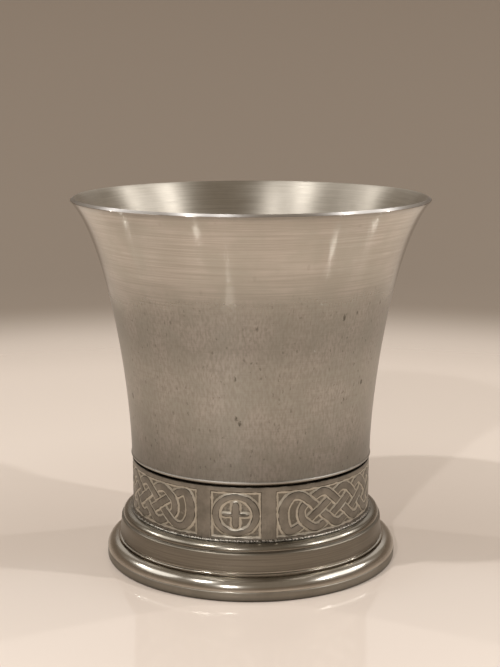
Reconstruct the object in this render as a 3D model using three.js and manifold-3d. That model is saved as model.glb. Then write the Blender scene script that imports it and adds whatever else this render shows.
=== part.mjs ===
// Footed pewter beaker: a spun, flared bowl soldered on a cast and turned foot, with a cast
// strip of interlace and ringed crosses bent round the foot's sleeve and soldered there.
// Millimetres, +Z up, origin at the centre of the base on the table, a ringed cross facing -Y.
import * as THREE from "three";
import { mergeVertices } from "three/addons/utils/BufferGeometryUtils.js";
import Module from "manifold-3d";

const wasm = await Module();
wasm.setup();

// Bowl
const rimRadius = 44.0; // outer edge of the lip
const heelRadius = 30.0; // widest part of the heel, where the wall starts
const bowlHeight = 64.0; // underside to the lip's outer edge
const bowlWall = 1.2;
const bowlFloor = 1.6;
const heelRound = 0.3; // outside radius between underside and wall
const floorRound = 3.0; // inside radius between floor and wall
const flareAngle = THREE.MathUtils.degToRad(41.5); // wall at the lip, from the vertical
const heelPull = 15.3; // how far the wall runs on upright from the heel
const lipPull = 13.6; // how far the flare runs on down from the lip
const lipWidth = 1.0; // flat of the lip, measured level
const lipRise = 0.45; // inner edge of the lip above its outer edge

// Ornament strip
const bandSetback = 0.15; // strip behind the bowl's heel
const bandThickness = 1.5; // at the raised flats
const bandHeight = 13.2;
const bowlGroove = 0.7; // dark groove between strip and bowl
const reliefDepth = 0.3; // raised flats above the sunk floor
const topRailHeight = 1.2; // plain edge along the top
const bottomRailHeight = 0.8; // plain edge along the bottom
const patternRepeats = 3;
const crossPanelWidth = 11.9;
const pillarWidth = 3.65; // plain bar between panels

// Plait of four ribbons with two nested arcs at each end
const plaitTurns = 4; // turn-backs along one edge, between the outer arcs
const plaitEndLength = 7.8; // panel's end to its first crossing
const plaitLean = 0.2; // slant of the whole plait along the strip
const ribbonWidth = 2.1;
const endArcWidth = 2.9; // ribbon's width where its outer arc is broadest
const ribbonDraft = 0.4; // a ribbon's top is narrower than its root by this
const ribbonLift = 0.07; // how far a ribbon rises over and dips under
const ribbonMargin = 0.2; // sunk line between a ribbon and the panel's edge
const innerArcDepth = 1.55; // inner end arc beyond the first crossing
const zigzagSharpness = 0.93; // 0 is a plain wave, 1 has pointed turns
const quarterRound = 0.55; // handle that draws a quarter circle

// Ringed cross
const ringHalfWidth = 6.0; // the ring runs into the pillars beside it
const ringHalfHeight = 5.3;
const openingHalfWidth = 3.7;
const openingHalfHeight = 3.6;
const crossGap = 0.35; // sunk line between the cross and its ring
const uprightWidth = 2.0;
const armWidth = 1.1;
const armDrop = 0.05; // arms lie below the upright

// Foot, from the table up
const flangeEdge = 2.5; // upright edge of the flange
const flangeRoundHeight = 2.6;
const flangeRoundWidth = 2.7;
const flangeStep = 0.55; // flange's top wider than the collar's foot
const neckGroove = 0.3; // each of two grooves between flange and collar
const neckBead = 0.4; // bead between the grooves
const neckDepth = 0.1; // grooves behind the collar's foot
const beadReach = 0.6; // bead in front of its grooves
const collarHeight = 4.4;
const collarSplay = 0.35; // collar's foot wider than its top
const collarRound = 0.45; // rounding of its top edge
const lineWidth = 0.4; // turned line between collar and shoulder
const lineDepth = 0.3;
const shoulderHeight = 1.4;
const shoulderWidth = 1.9;
const ledgeLip = 0.1; // level ledge left outside the solder
const ledgeThickness = 2.4;
const footWall = 2.2;
const sleeveWall = 1.8;
const tableRingWidth = 3.2; // ring that stands on the table
const plateSeatWidth = 1.4;

// Base plate and solder
const plateThickness = 1.2;
const solderGap = 0.1; // film of solder between two faces
const bowlSolderLeg = 1.0;
const bandSolderLeg = 0.45;
const plateSolderLeg = 0.5;
const solderStandoff = 0.2; // solder under the plate stays off the table by this

// Facets
const turnSegments = 52;
const wallSegments = 9;
const roundSegments = 4;
const heelSegments = 2;
const ringSegments = 12; // half the sides of a ring
const ribbonStep = 1.9; // length of one straight piece of a ribbon
const buriedDepth = 0.3; // ornament sunk into the strip it is one piece with

// Places worked out from the sizes above
const bandRadius = heelRadius - bandSetback;
const bandInnerRadius = bandRadius - bandThickness;
const bandFloorRadius = bandRadius - reliefDepth;
const sleeveRadius = bandInnerRadius - solderGap;
const sleeveInnerRadius = sleeveRadius - sleeveWall;
const ledgeRadius = bandRadius + solderGap + bandSolderLeg + ledgeLip;
const collarTopRadius = ledgeRadius + shoulderWidth;
const collarFootRadius = collarTopRadius + collarRound + collarSplay;
const neckRadius = collarFootRadius - neckDepth;
const flangeTopRadius = collarFootRadius + flangeStep;
const flangeRadius = flangeTopRadius + flangeRoundWidth;
const plateSeatRadius = flangeRadius - tableRingWidth;
const hollowRadius = plateSeatRadius - plateSeatWidth;

const flangeTop = flangeEdge + flangeRoundHeight;
const neckMiddle = flangeTop + neckGroove + neckBead / 2;
const collarFoot = flangeTop + 2 * neckGroove + neckBead;
const collarTop = collarFoot + collarHeight;
const shoulderFoot = collarTop + lineWidth;
const ledge = shoulderFoot + shoulderHeight;
const bandBottom = ledge + solderGap;
const bandTop = bandBottom + bandHeight;
const bowlBottom = bandTop + bowlGroove;
const sleeveTop = bowlBottom - solderGap;
const plateBottom = solderStandoff + plateSolderLeg + solderGap;
const plateSeat = plateBottom + plateThickness + solderGap;

const panelHeight = bandHeight - topRailHeight - bottomRailHeight;
const panelMiddle = bandBottom + bottomRailHeight + panelHeight / 2;
const repeatLength = (2 * Math.PI * bandRadius) / patternRepeats;
const knotLength = repeatLength - crossPanelWidth - 2 * pillarWidth;
const columnPitch = (knotLength - 2 * plaitEndLength) / (2 * plaitTurns);
const plaitReach = panelHeight / 2 - ribbonWidth / 2 - ribbonMargin;
const outerTurnX = (plaitTurns + 1) * columnPitch;
const outerEndX = knotLength / 2 - endArcWidth / 2 - ribbonMargin;
const innerEndX = plaitTurns * columnPitch;

const point = (radius, height) => new THREE.Vector2(radius, height);

// Part of an ellipse from one angle to another, as profile points.
function arc(radius, height, halfWidth, halfHeight, from, to, segments = roundSegments) {
  const turn = new THREE.EllipseCurve(radius, height, halfWidth, halfHeight, from, to, from > to);
  return turn.getPoints(segments);
}

// A profile turned about the Z axis.
function revolve(profile) {
  return new THREE.LatheGeometry(profile, turnSegments).rotateX(Math.PI / 2);
}

// Ring of solder filling a square corner: its legs run outwards and up, or inwards and down if negative.
function solderRing(radius, height, leg) {
  const corner = point(radius, height);
  return revolve([corner, point(radius + leg, height), point(radius, height + leg), corner]);
}

function solidOf(geometry) {
  const bare = geometry.clone();
  bare.deleteAttribute("normal");
  bare.deleteAttribute("uv");
  const merged = mergeVertices(bare);
  const mesh = new wasm.Mesh({
    numProp: 3,
    vertProperties: new Float32Array(merged.attributes.position.array),
    triVerts: new Uint32Array(merged.index.array),
  });
  return new wasm.Manifold(mesh);
}

function geometryOf(solid) {
  const mesh = solid.getMesh();
  const geometry = new THREE.BufferGeometry();
  geometry.setAttribute("position", new THREE.BufferAttribute(mesh.vertProperties, 3));
  geometry.setIndex(new THREE.BufferAttribute(mesh.triVerts, 1));
  geometry.computeVertexNormals();
  return geometry;
}

// The bowl: outside and inside are one curve and its offset, cut off level at the lip.
function bowlGeometry() {
  const heel = point(heelRadius, bowlBottom + heelRound);
  const lip = point(rimRadius, bowlBottom + bowlHeight);
  const heelHandle = point(heel.x, heel.y + heelPull);
  const lipHandle = point(lip.x - lipPull * Math.sin(flareAngle), lip.y - lipPull * Math.cos(flareAngle));
  const wall = new THREE.CubicBezierCurve(heel, heelHandle, lipHandle, lip);
  const inward = (share) => {
    const along = wall.getTangentAt(share);
    return wall.getPointAt(share).add(point(-along.y, along.x).multiplyScalar(bowlWall));
  };
  const floorTop = bowlBottom + bowlFloor;
  const insideRadius = heelRadius - bowlWall;
  const outside = wall.getSpacedPoints(wallSegments);
  const inside = outside
    .map((_, i) => inward(i / wallSegments))
    .filter((p, i) => i < wallSegments && p.y > floorTop + floorRound)
    .reverse();
  return revolve([
    point(0, bowlBottom),
    ...arc(heelRadius - heelRound, heel.y, heelRound, heelRound, -Math.PI / 2, 0, heelSegments),
    ...outside.slice(1),
    point(rimRadius - lipWidth, lip.y + lipRise),
    ...inside,
    ...arc(insideRadius - floorRound, floorTop + floorRound, floorRound, floorRound, 0, -Math.PI / 2),
    point(0, floorTop),
  ]);
}

// The foot: flange, beaded neck, collar, turned line, shoulder, ledge and the sleeve behind the strip.
function footGeometry() {
  const hollowTop = ledge - ledgeThickness;
  const profile = [
    point(plateSeatRadius, 0),
    point(flangeRadius, 0),
    ...arc(flangeTopRadius, flangeEdge, flangeRoundWidth, flangeRoundHeight, 0, Math.PI / 2),
    point(neckRadius, flangeTop),
    ...arc(neckRadius, neckMiddle, beadReach, neckBead / 2, -Math.PI / 2, Math.PI / 2),
    point(neckRadius, collarFoot),
    point(collarFootRadius, collarFoot),
    ...arc(collarTopRadius, collarTop - collarRound, collarRound, collarRound, 0, Math.PI / 2),
    point(collarTopRadius - lineDepth, collarTop + lineWidth / 2),
    ...arc(ledgeRadius, shoulderFoot, shoulderWidth, shoulderHeight, 0, Math.PI / 2),
    point(sleeveRadius, ledge),
    point(sleeveRadius, sleeveTop),
    point(sleeveInnerRadius, sleeveTop),
    point(sleeveInnerRadius, hollowTop),
    point(collarTopRadius - footWall, hollowTop),
    point(hollowRadius, collarFoot),
    point(hollowRadius, plateSeat),
    point(plateSeatRadius, plateSeat),
    point(plateSeatRadius, 0),
  ];
  return revolve(profile);
}

function basePlateGeometry() {
  const radius = plateSeatRadius - solderGap;
  const top = plateBottom + plateThickness;
  return revolve([point(0, plateBottom), point(radius, plateBottom), point(radius, top), point(0, top)]);
}

// Bends flat ornament onto the strip: x runs along it, y across it, z above its sunk floor.
function bendRound(geometry, turn) {
  const places = geometry.attributes.position;
  for (let i = 0; i < places.count; i++) {
    const angle = turn + places.getX(i) / bandRadius;
    const radius = bandFloorRadius + places.getZ(i);
    const height = panelMiddle + places.getY(i);
    places.setXYZ(i, radius * Math.sin(angle), -radius * Math.cos(angle), height);
  }
  return geometry;
}

// A flat raised shape with upright sides, rooted in the strip.
function raised(shape, height) {
  const options = { depth: height + buriedDepth, bevelEnabled: false, curveSegments: ringSegments };
  return new THREE.ExtrudeGeometry(shape, options).translate(0, 0, -buriedDepth);
}

function rectangle(width, height) {
  const x = width / 2;
  const y = height / 2;
  return new THREE.Shape([point(-x, -y), point(x, -y), point(x, y), point(-x, y)]);
}

// Plain strip with its two edge rails standing above the sunk floor.
function stripGeometry() {
  return revolve([
    point(bandInnerRadius, bandBottom),
    point(bandRadius, bandBottom),
    point(bandRadius, bandBottom + bottomRailHeight),
    point(bandFloorRadius, bandBottom + bottomRailHeight),
    point(bandFloorRadius, bandTop - topRailHeight),
    point(bandRadius, bandTop - topRailHeight),
    point(bandRadius, bandTop),
    point(bandInnerRadius, bandTop),
    point(bandInnerRadius, bandBottom),
  ]);
}

// A ribbon's place along the plait: x, y and how far it rises over (1) or dips under (-1). The first turn
// is counted in columns, and mirror -1 gives the ribbon that weaves against the other.
function plaitPoint(x, firstTurn, mirror) {
  const phase = (Math.PI * (x / columnPitch - firstTurn)) / 4;
  const y = (mirror * plaitReach * Math.asin(zigzagSharpness * Math.cos(phase))) / Math.asin(zigzagSharpness);
  const slope = THREE.MathUtils.clamp(2 * Math.sin(phase), -1, 1);
  return new THREE.Vector3(x + plaitLean * y, y, -mirror * Math.cos(4 * phase) * slope);
}

// Points of a ribbon between two places, several to each column of crossings.
function plaitRun(fromX, toX, firstTurn, mirror) {
  const count = 4 * Math.round((toX - fromX) / columnPitch);
  return Array.from({ length: count + 1 }, (_, i) =>
    plaitPoint(THREE.MathUtils.lerp(fromX, toX, i / count), firstTurn, mirror),
  );
}

// Half of an end arc, from its middle on the panel's long axis up or down to a ribbon's end.
function endArc(middleX, end, handle) {
  const middle = new THREE.Vector3(middleX, 0, 0);
  const start = new THREE.Vector3(middleX, -Math.sign(end.y) * buriedDepth, 0);
  const upright = new THREE.Vector3(middleX, quarterRound * end.y, 0);
  const curve = new THREE.CubicBezierCurve3(middle, upright, handle, end);
  return [start, ...curve.getPoints(2 * roundSegments).slice(0, -1)];
}

// The outer arc is nearly round, from the panel's end to the ribbon's first turn.
function outerArc(side, end) {
  const middleX = side * outerEndX;
  return endArc(middleX, end, new THREE.Vector3(THREE.MathUtils.lerp(end.x, middleX, quarterRound), end.y, 0));
}

// The inner arc leaves its first crossing on the ribbon's own slope.
function innerArc(side, end, next) {
  const slope = end.clone().sub(next).setZ(0).setLength(innerArcDepth / 2);
  return endArc(side * (innerEndX + innerArcDepth), end, end.clone().add(slope));
}

// A whole ribbon: it ends in an outer arc where it turns back at the panel's end, and else in an inner one.
function ribbonPoints(firstTurn, mirror) {
  const isOuter = (side) => (side * (plaitTurns + 1) - firstTurn) % 4 === 0;
  const endX = (side) => side * (isOuter(side) ? outerTurnX : innerEndX);
  const arcTo = (side, end, next) => (isOuter(side) ? outerArc(side, end) : innerArc(side, end, next));
  const run = plaitRun(endX(-1), endX(1), firstTurn, mirror);
  return [...arcTo(-1, run[0], run[1]), ...run, ...arcTo(1, run.at(-1), run.at(-2)).reverse()];
}

// A ribbon with drafted sides following its points, broader in its outer arcs.
function ribbonGeometry(points) {
  const middle = reliefDepth - ribbonLift;
  const placed = points.map((p) => new THREE.Vector3(p.x, p.y, middle + ribbonLift * p.z));
  const path = new THREE.CatmullRomCurve3(placed);
  const steps = Math.round(path.getLength() / ribbonStep);
  const bar = new THREE.BoxGeometry(1, 1, 1, steps, 1, 1);
  const places = bar.attributes.position;
  for (let i = 0; i < places.count; i++) {
    const share = THREE.MathUtils.clamp(places.getX(i) + 0.5, 0, 1);
    const centre = path.getPointAt(share);
    const along = path.getTangentAt(share).setZ(0).normalize();
    const inArc = THREE.MathUtils.smoothstep(Math.abs(centre.x), outerTurnX, outerEndX);
    const width = THREE.MathUtils.lerp(ribbonWidth, endArcWidth, inArc);
    const isTop = places.getZ(i) > 0;
    const offset = places.getY(i) * (isTop ? width - ribbonDraft : width);
    const height = isTop ? centre.z : -buriedDepth;
    places.setXYZ(i, centre.x - along.y * offset, centre.y + along.x * offset, height);
  }
  return bar;
}

function knotPanel() {
  return [-plaitTurns - 1, 1 - plaitTurns].flatMap((firstTurn) => [
    ribbonGeometry(ribbonPoints(firstTurn, 1)),
    ribbonGeometry(ribbonPoints(firstTurn, -1)),
  ]);
}

// A cross standing free inside its ring.
function crossPanel() {
  const ring = new THREE.Shape().absellipse(0, 0, ringHalfWidth, ringHalfHeight, 0, 2 * Math.PI);
  const opening = new THREE.Path().absellipse(0, 0, openingHalfWidth, openingHalfHeight, 0, 2 * Math.PI, true);
  ring.holes.push(opening);
  return [
    raised(ring, reliefDepth),
    raised(rectangle(uprightWidth, 2 * (openingHalfHeight - crossGap)), reliefDepth),
    raised(rectangle(2 * (openingHalfWidth - crossGap), armWidth), reliefDepth - armDrop),
  ];
}

// The strip with all of its ornament, as one casting.
function bandGeometry() {
  const pillar = raised(rectangle(pillarWidth, panelHeight + bottomRailHeight), reliefDepth);
  const pillarX = (crossPanelWidth + pillarWidth) / 2;
  const repeat = [
    ...crossPanel(),
    pillar.clone().translate(-pillarX, 0, 0),
    pillar.clone().translate(pillarX, 0, 0),
    ...knotPanel().map((ribbon) => ribbon.translate(repeatLength / 2, 0, 0)),
  ];
  let band = solidOf(stripGeometry());
  for (let i = 0; i < patternRepeats; i++) {
    const turn = (2 * Math.PI * i) / patternRepeats;
    for (const piece of repeat) {
      band = band.add(solidOf(bendRound(piece.clone(), turn)));
    }
  }
  return geometryOf(band);
}

const satinPewter = new THREE.MeshStandardMaterial({ color: 0x8f877a, roughness: 0.42, metalness: 0.95 });
const polishedPewter = new THREE.MeshStandardMaterial({ color: 0x857d70, roughness: 0.26, metalness: 0.95 });
const castPewter = new THREE.MeshStandardMaterial({ color: 0x80786b, roughness: 0.5, metalness: 0.9 });
const solder = new THREE.MeshStandardMaterial({ color: 0x9a948a, roughness: 0.35, metalness: 0.95 });

function piece(name, geometry, material) {
  const mesh = new THREE.Mesh(geometry, material);
  mesh.name = name;
  return mesh;
}

const beaker = new THREE.Group();
beaker.add(
  piece("bowl", bowlGeometry(), satinPewter),
  piece("ornament_band", bandGeometry(), castPewter),
  piece("foot", footGeometry(), polishedPewter),
  piece("base_plate", basePlateGeometry(), satinPewter),
  piece(
    "bowl_solder",
    solderRing(sleeveInnerRadius - solderGap, sleeveTop, -bowlSolderLeg),
    solder,
  ),
  piece("band_solder", solderRing(bandRadius + solderGap, bandBottom, bandSolderLeg), solder),
  piece(
    "base_plate_solder",
    solderRing(plateSeatRadius - solderGap, plateBottom - solderGap, -plateSolderLeg),
    solder,
  ),
);

export default beaker;
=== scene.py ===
# Footed pewter beaker: a spun bowl soldered on a cast and turned foot, with a cast strip of interlace
# and ringed crosses bent round the foot's neck. Sizes are in millimetres; the frame is in metres, +Z up.
import math
import bpy
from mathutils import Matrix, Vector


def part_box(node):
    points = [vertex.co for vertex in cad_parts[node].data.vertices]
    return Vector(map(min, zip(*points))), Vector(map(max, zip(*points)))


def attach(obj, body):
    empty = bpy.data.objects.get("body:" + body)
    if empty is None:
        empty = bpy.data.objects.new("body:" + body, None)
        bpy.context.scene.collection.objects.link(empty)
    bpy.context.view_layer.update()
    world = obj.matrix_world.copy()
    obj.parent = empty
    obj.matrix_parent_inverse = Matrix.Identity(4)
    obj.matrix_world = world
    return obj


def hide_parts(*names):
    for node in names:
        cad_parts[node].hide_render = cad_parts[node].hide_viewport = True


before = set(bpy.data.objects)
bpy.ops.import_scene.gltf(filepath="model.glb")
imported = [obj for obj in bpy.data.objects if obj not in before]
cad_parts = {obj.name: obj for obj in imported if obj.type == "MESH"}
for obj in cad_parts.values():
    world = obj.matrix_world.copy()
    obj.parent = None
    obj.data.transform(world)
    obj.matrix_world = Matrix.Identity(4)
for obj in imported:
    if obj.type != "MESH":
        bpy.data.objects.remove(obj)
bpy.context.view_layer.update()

# Foot: one pewter casting, turned on a lathe inside and out and then polished. Flange, beaded neck, collar
# and shoulder are cut from the outside, and a sleeve stands up from it to carry the strip and the bowl.
MM = 0.001
TURN_STEPS = 192
ROUND_STEPS = 8
_, foot_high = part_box("foot")
flange_radius = foot_high.x / MM
sleeve_top = foot_high.z / MM
flange_edge = 2.5
edge_line_width = 0.3
edge_line_depth = 0.14
flange_round_height = 2.6
flange_round_width = 2.7
flange_step = 0.55
neck_groove = 0.3
neck_bead = 0.4
neck_depth = 0.1
bead_reach = 0.6
collar_height = 4.4
collar_splay = 0.35
collar_round = 0.45
line_width = 0.4
line_depth = 0.3
shoulder_height = 1.4
shoulder_width = 1.9
ledge_width = 2.25
ledge_thickness = 2.4
sleeve_wall = 1.8
foot_wall = 2.2
table_ring_width = 3.2
table_ring_round = 0.6
plate_seat_width = 1.4
plate_seat = 2.1
turned_edge = 0.07
merge_reach = 0.002
smooth_angle = math.radians(30)


def arc(radius, height, half_width, half_height, start, end, steps=ROUND_STEPS):
    """Part of an ellipse, angles in degrees, as radius and height pairs."""
    angles = [math.radians(start + (end - start) * i / steps) for i in range(steps + 1)]
    return [(radius + half_width * math.cos(a), height + half_height * math.sin(a)) for a in angles]


def bezier(corners, steps):
    """Places along a curve given by its two ends and the handles between them."""
    places = []
    for i in range(steps + 1):
        share = i / steps
        line = corners
        while len(line) > 1:
            line = [tuple(a + (b - a) * share for a, b in zip(p, q)) for p, q in zip(line, line[1:])]
        places.append(line[0])
    return places


def drawn_line(name, places):
    """A line of edges drawn corner by corner through places given in millimetres."""
    bpy.ops.object.select_all(action="DESELECT")
    bpy.ops.mesh.primitive_plane_add(size=MM)
    line = bpy.context.object
    line.name = name
    bpy.ops.object.mode_set(mode="EDIT")
    bpy.ops.mesh.select_mode(type="VERT")
    bpy.ops.mesh.select_all(action="SELECT")
    bpy.ops.mesh.merge(type="CENTER")
    bpy.ops.transform.translate(value=[c * MM for c in places[0]])
    for here, there in zip(places, places[1:]):
        step = [(b - a) * MM for a, b in zip(here, there)]
        bpy.ops.mesh.extrude_region_move(TRANSFORM_OT_translate={"value": step})
    bpy.ops.object.mode_set(mode="OBJECT")
    return line


def close_mesh():
    """Merges the doubles of the piece in edit mode and turns its faces outwards."""
    bpy.ops.mesh.select_all(action="SELECT")
    bpy.ops.mesh.remove_doubles(threshold=merge_reach * MM)
    bpy.ops.mesh.normals_make_consistent(inside=False)


def soften(piece, width, segments=2, angle=25):
    """Breaks the sharp edges of a turned piece with a small bevel."""
    bpy.ops.object.modifier_add(type="BEVEL")
    bevel = piece.modifiers[-1]
    bevel.width = width * MM
    bevel.segments = segments
    bevel.limit_method = "ANGLE"
    bevel.angle_limit = math.radians(angle)
    bpy.ops.object.modifier_apply(modifier=bevel.name)


def turned(name, outline, edge=turned_edge, steps=TURN_STEPS):
    """A piece turned from its outline of radius and height, with its edges broken."""
    piece = drawn_line(name, [(radius, 0, height) for radius, height in outline])
    bpy.ops.object.mode_set(mode="EDIT")
    bpy.ops.mesh.select_all(action="SELECT")
    bpy.ops.mesh.spin(steps=steps, angle=math.tau, center=(0, 0, 0), axis=(0, 0, 1))
    close_mesh()
    bpy.ops.object.mode_set(mode="OBJECT")
    if edge:
        soften(piece, edge)
    bpy.ops.object.shade_smooth_by_angle(angle=smooth_angle)
    return piece


flange_top_radius = flange_radius - flange_round_width
flange_top = flange_edge + flange_round_height
collar_foot_radius = flange_top_radius - flange_step
neck_radius = collar_foot_radius - neck_depth
neck_middle = flange_top + neck_groove + neck_bead / 2
collar_foot = flange_top + 2 * neck_groove + neck_bead
collar_top_radius = collar_foot_radius - collar_splay - collar_round
collar_top = collar_foot + collar_height
shoulder_foot = collar_top + line_width
ledge = shoulder_foot + shoulder_height
ledge_radius = collar_top_radius - shoulder_width
sleeve_radius = ledge_radius - ledge_width
sleeve_inner_radius = sleeve_radius - sleeve_wall
plate_seat_radius = flange_radius - table_ring_width
hollow_radius = plate_seat_radius - plate_seat_width
hollow_top = ledge - ledge_thickness

foot_outline = [
    (plate_seat_radius, 0),
    *arc(flange_radius - table_ring_round, table_ring_round, table_ring_round, table_ring_round, -90, 0),
    (flange_radius, flange_edge - edge_line_width),
    (flange_radius - edge_line_depth, flange_edge - edge_line_width / 2),
    *arc(flange_top_radius, flange_edge, flange_round_width, flange_round_height, 0, 90),
    (neck_radius, flange_top),
    *arc(neck_radius, neck_middle, bead_reach, neck_bead / 2, -90, 90),
    (neck_radius, collar_foot),
    (collar_foot_radius, collar_foot),
    *arc(collar_top_radius, collar_top - collar_round, collar_round, collar_round, 0, 90),
    (collar_top_radius - line_depth, collar_top + line_width / 2),
    *arc(ledge_radius, shoulder_foot, shoulder_width, shoulder_height, 0, 90),
    (sleeve_radius, ledge),
    (sleeve_radius, sleeve_top),
    (sleeve_inner_radius, sleeve_top),
    (sleeve_inner_radius, hollow_top),
    (collar_top_radius - foot_wall, hollow_top),
    (hollow_radius, collar_foot),
    (hollow_radius, plate_seat),
    (plate_seat_radius, plate_seat),
    (plate_seat_radius, 0),
]
foot = turned("turned_foot", foot_outline)


def add_node(tree, kind, inputs=None, **settings):
    """A shader node with its settings, its plain inputs and its links made in one go."""
    made = tree.nodes.new(kind)
    for name, value in settings.items():
        setattr(made, name, value)
    for name, value in (inputs or {}).items():
        if isinstance(value, bpy.types.NodeSocket):
            tree.links.new(value, made.inputs[name])
        else:
            made.inputs[name].default_value = value
    return made


def maths(tree, operation, first, second):
    """Two values or sockets added, multiplied or compared."""
    return add_node(tree, "ShaderNodeMath", {0: first, 1: second}, operation=operation).outputs[0]


def ramp(tree, value, low, high, to_low=0.0, to_high=1.0):
    """A soft step: value from low to high becomes to_low to to_high."""
    limits = {"Value": value, "From Min": low, "From Max": high, "To Min": to_low, "To Max": to_high}
    return add_node(tree, "ShaderNodeMapRange", limits, interpolation_type="SMOOTHSTEP").outputs[0]


def blend(tree, share, first, second):
    """Two values mixed by a share from 0 to 1."""
    return add_node(tree, "ShaderNodeMix", {0: share, 2: first, 3: second}, data_type="FLOAT").outputs[0]


def blend_colours(tree, share, first, second):
    """Two colours mixed by a share from 0 to 1."""
    return add_node(tree, "ShaderNodeMix", {0: share, 6: first, 7: second}, data_type="RGBA").outputs[2]


def height_tones(tree, height, tones):
    """A grey that passes through the tones given at heights in millimetres."""
    low = tones[0][0]
    high = tones[-1][0]
    share = maths(tree, "DIVIDE", maths(tree, "SUBTRACT", height, low * MM), (high - low) * MM)
    scale = add_node(tree, "ShaderNodeValToRGB", {"Fac": share})
    stops = scale.color_ramp.elements
    for level, tone in tones[1:-1]:
        stops.new((level - low) / (high - low)).color = (tone, tone, tone, 1)
    for stop, (_, tone) in zip((stops[0], stops[-1]), (tones[0], tones[-1])):
        stop.color = (tone, tone, tone, 1)
    return scale.outputs["Color"]


def shaded(tree, colour, tone):
    """A colour darkened by a grey."""
    inputs = {0: 1.0, 6: colour, 7: tone}
    return add_node(tree, "ShaderNodeMix", inputs, data_type="RGBA", blend_type="MULTIPLY").outputs[2]


def effect_group(name, inputs, output):
    """An empty shader group with number inputs and one number output."""
    group = bpy.data.node_groups.new(name, "ShaderNodeTree")
    for label, value in inputs.items():
        socket = group.interface.new_socket(label, in_out="INPUT", socket_type="NodeSocketFloat")
        socket.default_value = value
    group.interface.new_socket(output, in_out="OUTPUT", socket_type="NodeSocketFloat")
    return group, group.nodes.new("NodeGroupInput"), group.nodes.new("NodeGroupOutput")


def scaled(tree, vector, factor):
    """A vector times a number."""
    return add_node(tree, "ShaderNodeVectorMath", {0: vector, 3: factor}, operation="SCALE").outputs[0]


def added(tree, first, second):
    """The sum of two vectors."""
    return add_node(tree, "ShaderNodeVectorMath", {0: first, 1: second}, operation="ADD").outputs[0]


def place_on_surface(tree):
    """Object coordinates, their height, their distance from the beaker's axis, and their level part."""
    spot = add_node(tree, "ShaderNodeTexCoord").outputs["Object"]
    parts = add_node(tree, "ShaderNodeSeparateXYZ", {0: spot})
    level = add_node(tree, "ShaderNodeCombineXYZ", {"X": parts.outputs["X"], "Y": parts.outputs["Y"]})
    radius = add_node(tree, "ShaderNodeVectorMath", {0: level.outputs[0]}, operation="LENGTH")
    return spot, parts.outputs["Z"], radius.outputs["Value"], level.outputs[0]


def noise(tree, where, scale, detail=3.0, **settings):
    """Even noise from 0 to 1."""
    inputs = {"Vector": where, "Scale": scale, "Detail": detail, **settings}
    return add_node(tree, "ShaderNodeTexNoise", inputs).outputs["Fac"]


# The range that most of a noise's values take, and a narrower one that gives more contrast.
noise_range = (0.3, 0.7)
noise_core = (0.35, 0.65)


def turning_lines_group():
    """Level lines left by the turning tool: fine in radius and height, long round the axis."""
    group, given, result = effect_group("turning_lines", {"Fineness": 4000.0, "Breaks": 60.0}, "Lines")
    _, height, radius, level = place_on_surface(group)
    fineness = given.outputs["Fineness"]
    along = scaled(group, level, given.outputs["Breaks"])
    across = add_node(group, "ShaderNodeCombineXYZ", {"Z": maths(group, "MULTIPLY", radius, fineness)})
    where = added(group, along, across.outputs[0])
    upward = maths(group, "MULTIPLY", height, fineness)
    settings = {"Vector": where, "W": upward, "Scale": 1.0, "Detail": 3.0, "Roughness": 0.6}
    lines = add_node(group, "ShaderNodeTexNoise", settings, noise_dimensions="4D")
    group.links.new(lines.outputs["Fac"], result.inputs["Lines"])
    return group


def tarnish_group():
    """Soft clouds of tarnish."""
    group, given, result = effect_group("tarnish", {"Scale": 60.0}, "Tarnish")
    spot, _, _, _ = place_on_surface(group)
    cloud = noise(group, spot, given.outputs["Scale"], detail=5.0, Roughness=0.65)
    group.links.new(ramp(group, cloud, *noise_range), result.inputs["Tarnish"])
    return group


turning_lines = turning_lines_group()
tarnish = tarnish_group()
shine_turn = 0.25


def effect(tree, group, **inputs):
    """A shader group placed in a material with its own values."""
    made = add_node(tree, "ShaderNodeGroup", node_tree=group)
    for label, value in inputs.items():
        made.inputs[label].default_value = value
    return made.outputs[0]


def metal(name, anisotropy):
    """A metallic material whose shine is drawn out across its level lines, its node tree and its shader."""
    material = bpy.data.materials.new(name)
    material.use_nodes = True
    shader = material.node_tree.nodes["Principled BSDF"]
    shader.inputs["Metallic"].default_value = 1.0
    shader.inputs["Anisotropic"].default_value = anisotropy
    shader.inputs["Anisotropic Rotation"].default_value = shine_turn
    return material, material.node_tree, shader


def finish(tree, shader, colour, roughness, height, depth):
    """Colour, roughness and a bump given in millimetres of depth, joined to the shader."""
    bump = add_node(tree, "ShaderNodeBump", {"Height": height, "Distance": depth * MM})
    tree.links.new(colour, shader.inputs["Base Color"])
    tree.links.new(roughness, shader.inputs["Roughness"])
    tree.links.new(bump.outputs["Normal"], shader.inputs["Normal"])


foot_anisotropy = 0.4
flange_colours = ((0.42, 0.385, 0.33, 1), (0.50, 0.465, 0.41, 1))
shoulder_colours = ((0.24, 0.216, 0.178, 1), (0.30, 0.272, 0.226, 1))
collar_colours = ((0.195, 0.172, 0.138, 1), (0.26, 0.231, 0.189, 1))
flange_roughness = (0.16, 0.24)
collar_roughness = (0.36, 0.46)
shoulder_roughness = (0.22, 0.30)
edge_roughness = (0.45, 0.60)
neck_fade = 0.1
edge_fade = (0.1, 0.3)
foot_scratches = 0.006
# Painted shade where the foot meets the table: the colour darkens over the lowest millimetre or so.
foot_contact_shade_tones = ((0.0, 0.3), (0.7, 0.75), (1.3, 1.0), (2.0, 1.0))


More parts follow.
